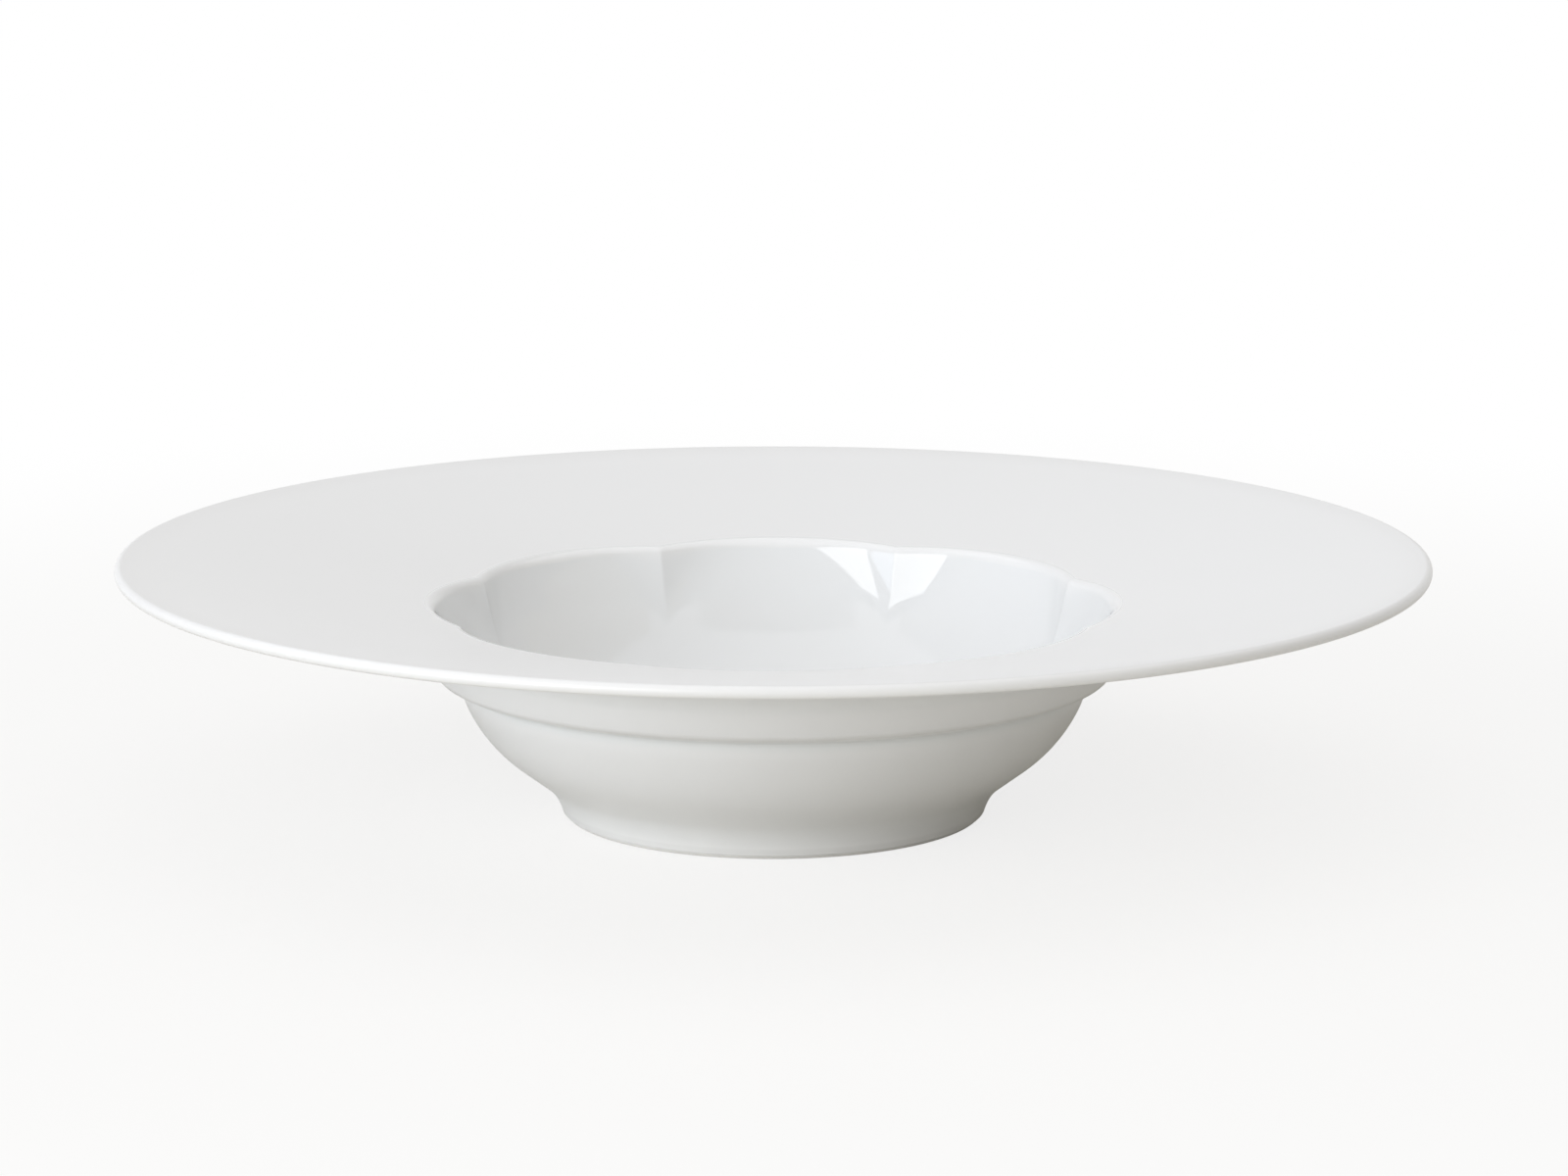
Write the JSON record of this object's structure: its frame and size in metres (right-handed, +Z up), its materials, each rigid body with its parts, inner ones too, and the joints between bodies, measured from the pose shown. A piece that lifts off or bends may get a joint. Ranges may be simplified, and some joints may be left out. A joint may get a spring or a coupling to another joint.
{
  "type": "pasta bowl",
  "caption": "Wide-rim pasta bowl in white glazed porcelain: a sloping rim round a deep scalloped well, with a ledge under the rim and a foot ring. It holds a serving of pasta, risotto or soup.",
  "frame": {"origin": "Centre of the plane that the foot ring stands on.", "axes": "+Z is up along the bowl's axis. +X and +Y each point at the middle of a lobe of the well."},
  "size_m": [0.3, 0.3, 0.061],
  "materials": {
    "bare_porcelain": "matt, unglazed",
    "gloss_glaze": "gloss",
    "satin_glaze": "satin"
  },
  "bodies": {
    "root": {"porcelain_body": "bare_porcelain", "well_glaze": "gloss_glaze", "outer_glaze": "satin_glaze", "base_glaze": "satin_glaze"}
  },
  "joints": []
}
